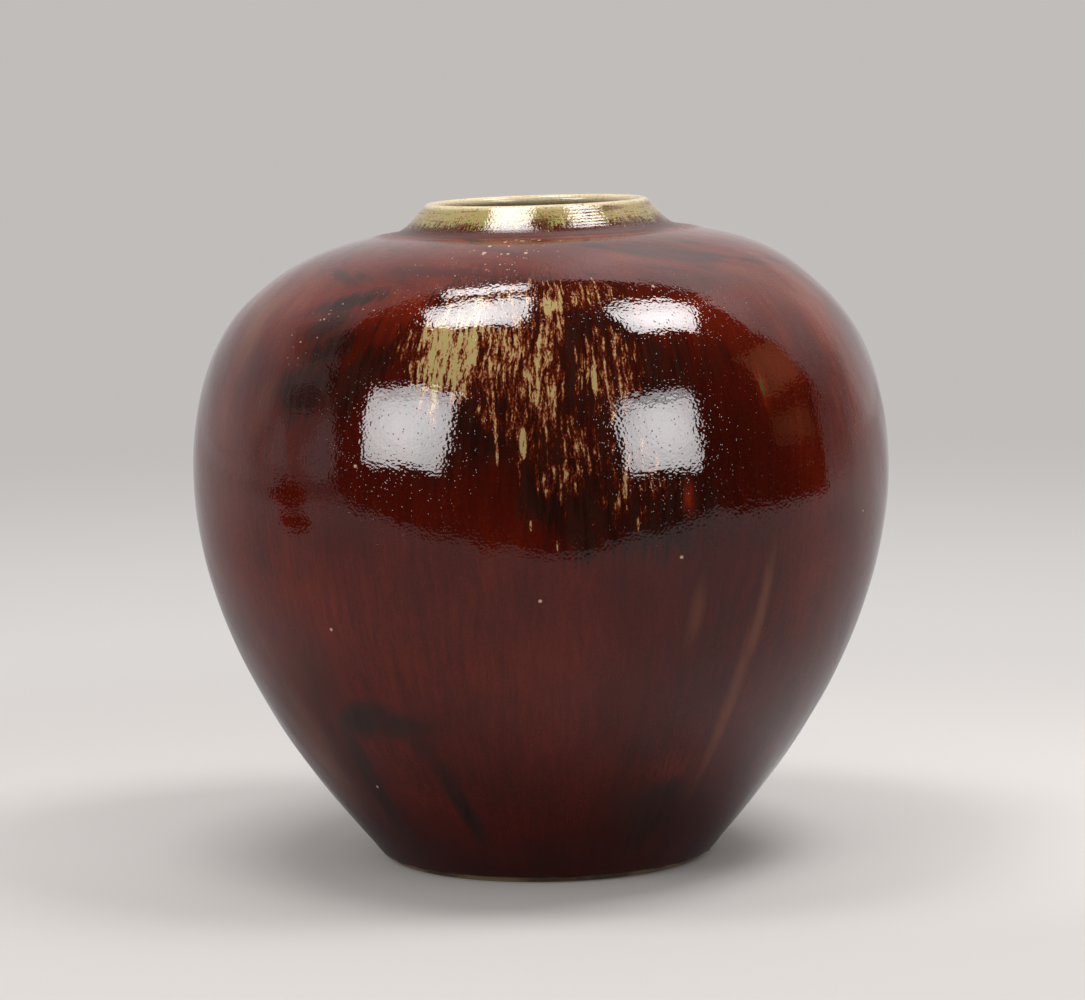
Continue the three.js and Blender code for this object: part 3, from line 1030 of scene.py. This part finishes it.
def straw_fur(r, spot, colour):
    """The hare's-fur streaks of straw and celadon that run down the front from the shoulder."""
    flow = straying(r, spot["Flow"], spot["Place"], (20.0, 20.0, 30.0), 31, 7, 3)
    streak = r.noise(flow, (2.9, 2.9, 36.0), 32, 2.0, 0.5) - 0.5
    dash = r.noise(flow, (1.7, 1.7, 8.0), 33, 2.0, 0.6) - 0.5
    grain = r.noise(flow, (0.85, 0.85, 1.6), 34, 1.5, 0.6) - 0.5
    edge = (r.noise(flow, (3.6, 3.6, 22.0), 36, 2.0, 0.5) - 0.5) * 1.8
    cover = patches(r, spot, FUR, edge, 0.65) - patches(r, spot, FUR_GAPS, edge * 0.4, 0.5)
    cover = r.most(cover, patches(r, spot, DROPS, dash * 1.5, 0.4))
    broken = streak * 1.15 + dash * 1.35 + grain * 0.75
    value = cover + broken * r.step(cover, 0.05, 0.30)
    fur = r.ramp(value, [
        (0.26, FUR_DARK), (0.38, RUST_DARK), (0.47, RUST), (0.54, TAN), (0.60, BUFF), (0.69, STRAW),
        (0.88, CELADON),
    ])
    return r.blend(r.step(value, 0.12, 0.26), colour, fur)


def collar_glaze():
    material, r = new_finish("straw glaze")
    spot = r.use(POT_PLACE)
    run, flow, place = spot["Run"], spot["Flow"], spot["Place"]
    lines = r.noise(flow, (60.0, 60.0, 1.1), 41, 2.0, 0.6)
    mottle = r.noise(place, 1.5, 42, 2.5, 0.6)
    blots = r.noise(flow, (9.0, 9.0, 7.0), 43, 3.0, 0.6)
    base = r.blend(r.step(blots, 0.35, 0.65), STRAW, CELADON)
    # The lip: pale glaze, lightened further as a painted highlight
    lip = r.step(run, OUTLINE.top - 3, OUTLINE.top + 1)
    base = r.blend(lip * 0.8, base, HONEY_AND_HIGHLIGHT)
    browner = r.step(spot["Turn"], 12, 45) * 0.05
    browned = r.step((lines - 0.5) * 1.3 + (mottle - 0.5) * 1.5 + browner + 0.5, 0.58, 0.80)
    base = r.blend(browned * (1 - lip * 0.6) * 0.8, base, RUST)
    drips = r.noise(flow, (1.2, 1.2, 9.0), 45, 1.5, 0.5) - 0.5
    below = r.step(run + drips * 18 + (mottle - 0.5) * 24 + (blots - 0.5) * 9, 498.0, 494.0)
    blotted = patches(r, spot, COLLAR_BLOTS, (mottle - 0.5) * 4.5, 0.3)
    mouth = OUTLINE.top + LIP_LENGTH + 7
    inside = r.step(run + (blots - 0.5) * 26 + (mottle - 0.5) * 8, mouth, mouth + 2)
    red = r.blend(r.step(mottle, 0.35, 0.6), RUST_DARK, oxblood(r, spot, 0.5, 0.35, 1.0))
    colour = r.blend(r.most(r.most(below, blotted), inside), base, red)
    skin = r.use(GLAZE_SKIN, Place=place, PeelSize=(1.4, 1.4, 1.4), PeelHeight=0.7, DimpleDepth=0.4)
    fired(r, colour, r.step(run, 497, 488) * 0.24 + 0.06, skin["Height"])
    return material


def liner_glaze():
    material, r = new_finish("liner glaze")
    spot = r.use(POT_PLACE)
    skin = r.use(GLAZE_SKIN, Place=spot["Place"], PeelSize=(2.4, 2.4, 2.4), PeelHeight=1.8, DimpleDepth=0.6)
    fired(r, oxblood(r, spot, 0.4, 0.45, 1.0), 0.14, skin["Height"])
    return material


def stoneware():
    material, r = new_finish("stoneware")
    place = r.use(POT_PLACE)["Place"]
    toast = r.noise(place, 22.0, 51, 3.0, 0.6)
    grog = r.noise(place, 1.2, 52, 3.0, 0.7)
    colour = r.blend(r.step(toast, 0.35, 0.7), CLAY, CLAY_DARK)
    colour = r.blend(r.step(grog, 0.60, 0.70) * 0.7, colour, GROG)
    fired(r, colour, r.step(grog, 0.0, 1.0) * 0.2 + 0.66, grog, CLAY_DEPTH)
    return material


clay = stoneware()
base = thrown_base(clay)
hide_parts("base_section")
shoulder = thrown_shoulder(clay)
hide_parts("shoulder_section")
collar = thrown_collar(clay)
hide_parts("neck_collar")
coat = red_coat(red_glaze())
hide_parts("wall_glaze")
rim = collar_coat(collar_glaze())
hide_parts("collar_glaze")
liner = liner_coat(liner_glaze())
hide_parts("liner_glaze")


# The studio

FLOOR_EDGE = 30.0
FLOOR_SIDES = 96
# Where the open floor ends, as the glaze mirrors it, and how softly that and the room's edge show
DARK_FLOOR = -0.76
EDGE_BLUR = 0.012
# Dark things on the floor at the left, as the glaze mirrors them: place and half size in metres
FLOOR_SPOTS = [(-3.2, -0.15, 1.6, 0.38), (-1.22, -0.17, 0.24, 0.15)]
NEAR_FLOOR = tint(222, 218, 215)
# Painted light and shade on the floor: paler at the right of the pot and darker in front of it
RIGHT_FLOOR_PAINTED_LIGHT = tint(229, 225, 222)
FRONT_FLOOR_PAINTED_SHADE = tint(208, 204, 201)
FAR_FLOOR = tint(193, 189, 186)
MIRRORED_WHITE = tint(250, 248, 247)
ROOM_WHITE = tint(250, 248, 246)
ROOM_LIGHT = 0.60
DARK_ROOM = 0.01


def flat_piece(name, outline, material):
    mesh = bpy.data.meshes.new(name)
    mesh.from_pydata(outline, [], [list(range(len(outline)))])
    mesh.materials.append(material)
    return placed(name, mesh)


def oval(x, y, middle_x, middle_y, half_x, half_y):
    """The square of how far a place lies from the middle of an oval. It is 1 at the edge."""
    across, up = (x - middle_x) / half_x, (y - middle_y) / half_y
    return across * across + up * up


def painted_floor_reflection(r, x, y, away):
    """How bright the glaze mirrors the open floor, painted for glossy rays: a painted shadow under the pot,
    and uneven farther off.
    """
    slant = y / x
    leaning = x / away * r.step(away, 0.42, 0.22) * 0.16 + 0.34
    # Painted shadow of the pot in the mirrored floor: dim close under it
    glow = leaning * r.step(away + y * 0.15, 0.10, 0.235) + r.step(x, 0.1, 0.4) * 0.08 + 0.075
    glow = glow + r.step(away, 0.6, 1.8) * 0.12
    glow = glow - r.step(x, -1.3, -2.6) * r.step(slant, -0.54, -0.08) * 0.20
    far_left = r.step(x, -2.2, -3.6) * r.step(x, -14.0, -6.0)
    glow = glow + far_left * (r.step(y, -0.5, 0.1) * 0.22 - 0.12)
    return glow - r.step(x, 0.9, 4.6) * r.step(slant, 1.1, 0.45) * 0.26


def open_floor(r, x, y, place):
    """Where the glaze mirrors the floor, from 0 to 1, and not the dark of the room in front."""
    waver = r.noise(place, (0.11, 0.5, 1.0), 61, 1.0) - 0.5
    sides = r.step(x, -0.2, -0.7) * 0.18 + r.step(x, 0.2, 0.7) * 0.08 + r.most(-1.5 - x, 0.0) * 0.35
    rise = r.least(r.most(x - 1.2, 0.0) * 2.4, r.most(x, 0.0) * 0.3 + 0.68)
    edge = y + waver * 0.20 + sides - rise
    share = r.step(edge, DARK_FLOOR - EDGE_BLUR, DARK_FLOOR + EDGE_BLUR)
    for spot in FLOOR_SPOTS:
        share = share * r.step(oval(x, y, *spot), 0.8, 1.2)
    return share


def studio_floor():
    """A pale floor, lit and shaded near the pot and plain farther off, with painted light at its right and
    painted shade in front. Only glossy rays find it dim: to them it shows a painted reflection, with a
    painted shadow under the pot.
    """
    material, r = new_finish("studio floor")
    place = r.place()
    x, y, _ = r.parts(place)
    away = r.math("SQRT", x * x + y * y)
    # Painted light at the right of the floor and painted shade in front of the pot
    near = r.blend(r.step(x, -0.05, 0.22), NEAR_FLOOR, RIGHT_FLOOR_PAINTED_LIGHT)
    near = r.blend(r.step(y, 0.05, -0.30), near, FRONT_FLOOR_PAINTED_SHADE)
    lit = r.node("BsdfDiffuse", {"Color": near})
    far = r.node("Emission", {"Color": r.blend(r.step(away, 0.6, 2.6), NEAR_FLOOR, FAR_FLOOR)})
    pale = mixed(r, r.step(away, 0.45, 1.0), lit, far)
    share = open_floor(r, x, y, place)
    glow = painted_floor_reflection(r, x, y, away) * share + DARK_ROOM * (1 - share)
    mirror = r.node("Emission", {"Color": MIRRORED_WHITE, "Strength": glow})
    finish_with(r, mixed(r, r.out(r.node("LightPath"), "Is Glossy Ray"), pale, mirror))
    turns = np.linspace(0, 2 * math.pi, FLOOR_SIDES + 1)[:-1]
    ring = [(FLOOR_EDGE * math.cos(a), FLOOR_EDGE * math.sin(a), 0) for a in turns]
    floor = flat_piece("studio_floor", ring, material)


# Lighter and darker places on the wall at the left, as the glaze mirrors them: the way and the height of the
# direction that each lies in, its half size in both, and the change in brightness
LEFT_WALL = [
    (-0.32, 0.10, 0.20, 0.20, 0.30),
    (0.10, 0.06, 0.10, 0.16, 0.22),
    (-0.04, 0.34, 0.16, 0.08, -0.22),
    (0.24, 0.66, 0.22, 0.16, -0.18),
    (0.50, 0.10, 0.24, 0.30, 0.08),
]


def studio_room():
    """The room: pale to the camera, plain to the object, and dark in front where glossy surfaces look out."""
    world, r = cleared(bpy.data.worlds.new("studio room"))
    bpy.context.scene.world = world
    x, y, z = r.parts(r.place("Generated"))
    rays = r.node("LightPath")
    right = r.step(x, -0.35, 0.25)
    right_edge = 0.29 - r.step(z, 0.35, 0.48) * 0.07 + r.step(z, 0.66, 0.80) * 0.12
    edge = r.least(z * z * 0.95 - 0.34, 0.30) * (1 - right) + right * right_edge
    open_room = r.step(y - edge, -EDGE_BLUR, EDGE_BLUR)
    sheen = r.step(y, 0.0, 0.6) * 0.25 + x * 0.12 + 0.42
    for *spot, change in LEFT_WALL:
        sheen = sheen + r.step(oval(y, z, *spot), 1.4, 0.4) * r.step(x, -0.50, -0.75) * change
    sheen = sheen + r.step(z, 0.42, 0.85) * r.step(x, -0.05, 0.12) * 0.8
    right_wall = r.most(r.step(z, 0.12, 0.60) * 0.56, r.step(y, 0.46, 0.85) * 0.6)
    right_wall = right_wall + r.step(z, 0.60, 0.85) * 0.8 + 0.26
    at_right = r.step(x, 0.38, 0.62)
    sheen = open_room * (sheen * (1 - at_right) + right_wall * at_right) + DARK_ROOM
    plain = r.node("Background", {"Color": ROOM_WHITE, "Strength": ROOM_LIGHT})
    seen = r.node("Background", {"Color": FAR_FLOOR, "Strength": 1.0})
    mirrored = r.node("Background", {"Color": MIRRORED_WHITE, "Strength": sheen})
    unseen = mixed(r, r.out(rays, "Is Glossy Ray"), plain, mirrored)
    finish_with(r, mixed(r, r.out(rays, "Is Camera Ray"), unseen, seen), "OutputWorld")


def facing(place, target, roll=0.0):
    """A place turned so that its -Z looks at the target."""
    toward = (Vector(target) - Vector(place)).normalized()
    turn = toward.to_track_quat("-Z", "Y").to_matrix().to_4x4()
    return Matrix.Translation(place) @ turn @ Matrix.Rotation(math.radians(roll), 4, "Z")


# The soft boxes: centre in metres, width, height, roll, lamp power, brightness as mirrored in the glaze, and
# how dark the seam is that crosses the cloth near its upper edge
SOFT_BOXES = {
    "left_box": ((-0.998, -1.073, 0.730), 0.78, 0.78, 0.0, 5.4, 15.0, 0.35),
    "right_box": ((0.935, -1.177, 0.671), 0.70, 0.76, 0.0, 0.6, 15.0, 0.85),
    "left_panel": ((-0.315, -0.150, 1.50), 0.53, 0.36, -12.0, 6.0, 19.0, 0.0),
    "left_flap": ((-0.215, 0.158, 1.50), 0.34, 0.12, -14.0, 0.0, 16.0, 0.0),
    "right_panel": ((0.645, -0.140, 1.50), 0.56, 0.45, 33.0, 10.2, 21.0, 0.10),
}
SEAM_PLACE = 0.72
# Boxes higher than this look straight down
OVERHEAD_HEIGHT = 1
VASE_MIDDLE = (0.0, 0.0, 0.26)
PALE_CLOTH = tint(250, 248, 248)

# Brown boards at the right of the room, which only the glaze mirrors: centre, width, height and brightness
BOARDS = {
    "high_board": ((2.09, 0.08, 1.34), 0.80, 0.70, 0.90),
    "low_board": ((2.33, -0.035, 0.61), 0.85, 0.36, 0.42),
}
BOARD_BROWN = tint(250, 168, 118)


def soft_boxes():
    for name, (centre, width, height, glare) in BOARDS.items():
        mirrored_card(name, facing(centre, VASE_MIDDLE), width, height, glare, 0.0, BOARD_BROWN)
    for name, (centre, width, height, roll, power, glare, seam) in SOFT_BOXES.items():
        overhead = centre[2] > OVERHEAD_HEIGHT
        target = (centre[0], centre[1], 0.0) if overhead else VASE_MIDDLE
        matrix = facing(centre, target, roll)
        mirrored_card(name + "_card", matrix, width, height, glare, seam, PALE_CLOTH)
        if not power:
            continue
        lamp = bpy.data.lights.new(name, "AREA")
        lamp.shape = "RECTANGLE"
        lamp.size = width
        lamp.size_y = height
        lamp.energy = power
        lamp_object = placed(name, lamp)
        lamp_object.matrix_world = matrix
        lamp_object.visible_glossy = lamp_object.visible_camera = False


def mirrored_card(name, matrix, width, height, glare, seam, colour):
    """What the glaze mirrors of a soft box or a board: dimmer towards its edge and above its seam."""
    material, r = new_finish(name)
    side, up, _ = r.parts(r.place())
    up = up / (height / 2)
    x = r.math("ABSOLUTE", side) / (width / 2)
    y = r.math("ABSOLUTE", up)
    from_edge = r.least(1 - x, 1 - y)
    middle = r.step(r.math("SQRT", x * x + y * y), 1.25, 0.1)
    line = r.step(r.math("ABSOLUTE", up - SEAM_PLACE), 0.06, 0.02) * seam
    above = r.step(up, SEAM_PLACE, SEAM_PLACE + 0.02) * seam * 0.45
    cloth = 1 - r.most(line, above)
    strength = r.step(from_edge, 0.0, 0.06) * (middle * 0.35 + 0.65) * cloth * glare
    finish_with(r, r.node("Emission", {"Color": colour, "Strength": strength}))
    corners = [(sx * width / 2, sy * height / 2, 0) for sx, sy in ((-1, -1), (1, -1), (1, 1), (-1, 1))]
    card = flat_piece(name, corners, material)
    card.matrix_world = matrix
    card.visible_camera = card.visible_diffuse = card.visible_shadow = False


# The camera: its place in metres, how far it looks down and is rolled in degrees, and its lens in millimetres
CAMERA_PLACE = (0.00056, -2.7129, 0.5296)
CAMERA_PITCH = 6.571
CAMERA_ROLL = 1.049
SENSOR_WIDTH = 36.0
FOCAL_LENGTH = 148.85
FARTHEST_SEEN = 100.0


def camera():
    """The photograph's view: a long lens, a little above the shoulder, and rolled by a degree."""
    lens = bpy.data.cameras.new("camera")
    lens.sensor_width = SENSOR_WIDTH
    lens.lens = FOCAL_LENGTH
    lens.clip_end = FARTHEST_SEEN
    viewer = placed("camera", lens)
    pitched = Matrix.Rotation(math.radians(90 - CAMERA_PITCH), 4, "X")
    rolled = Matrix.Rotation(math.radians(-CAMERA_ROLL), 4, "Z")
    viewer.matrix_world = Matrix.Translation(CAMERA_PLACE) @ pitched @ rolled
    bpy.context.scene.camera = viewer


studio_floor()
studio_room()
soft_boxes()
camera()
bpy.context.scene.view_settings.view_transform = "Standard"

bpy.context.view_layer.update()
